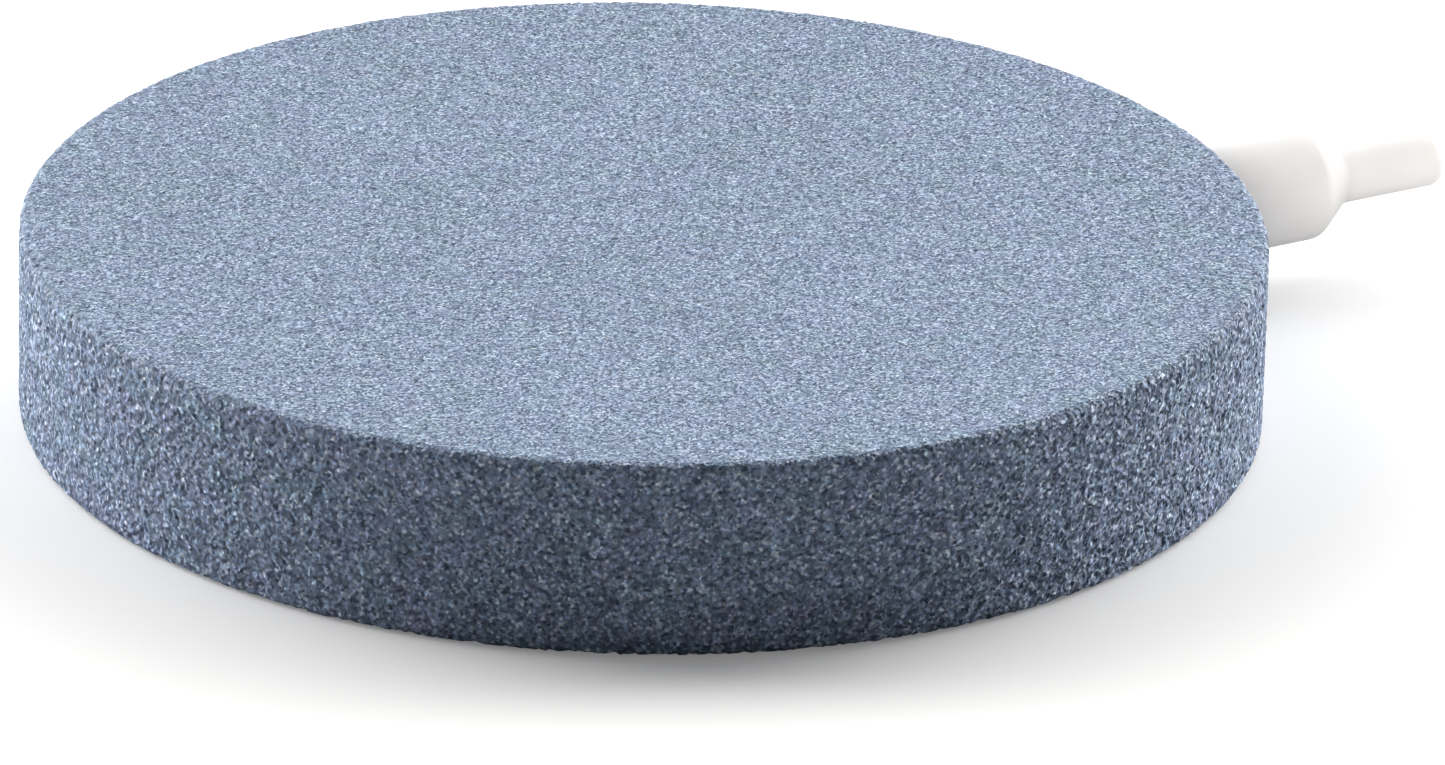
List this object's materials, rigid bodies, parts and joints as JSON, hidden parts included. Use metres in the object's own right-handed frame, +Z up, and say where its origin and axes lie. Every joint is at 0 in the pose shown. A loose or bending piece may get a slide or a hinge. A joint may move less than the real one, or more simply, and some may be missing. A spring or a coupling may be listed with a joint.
{
  "type": "air stone",
  "caption": "Flat round porous air stone with a crisp top rim, an air chamber inside and a stepped hose nozzle coming straight out of its side.",
  "frame": {"origin": "centre of the disc's flat underside", "axes": "+Z up out of the diffusing top, +X out along the hose nozzle"},
  "size_m": [0.1263, 0.1, 0.016],
  "materials": {
    "bonded_grit": "matte",
    "white_plastic": "satin",
    "epoxy": "gloss"
  },
  "bodies": {
    "root": {"stone_body": "bonded_grit", "base_plate": "bonded_grit", "base_bond_ring": "epoxy", "pillar_bonds": "epoxy", "air_nozzle": "white_plastic", "nozzle_bond": "epoxy"}
  },
  "joints": []
}
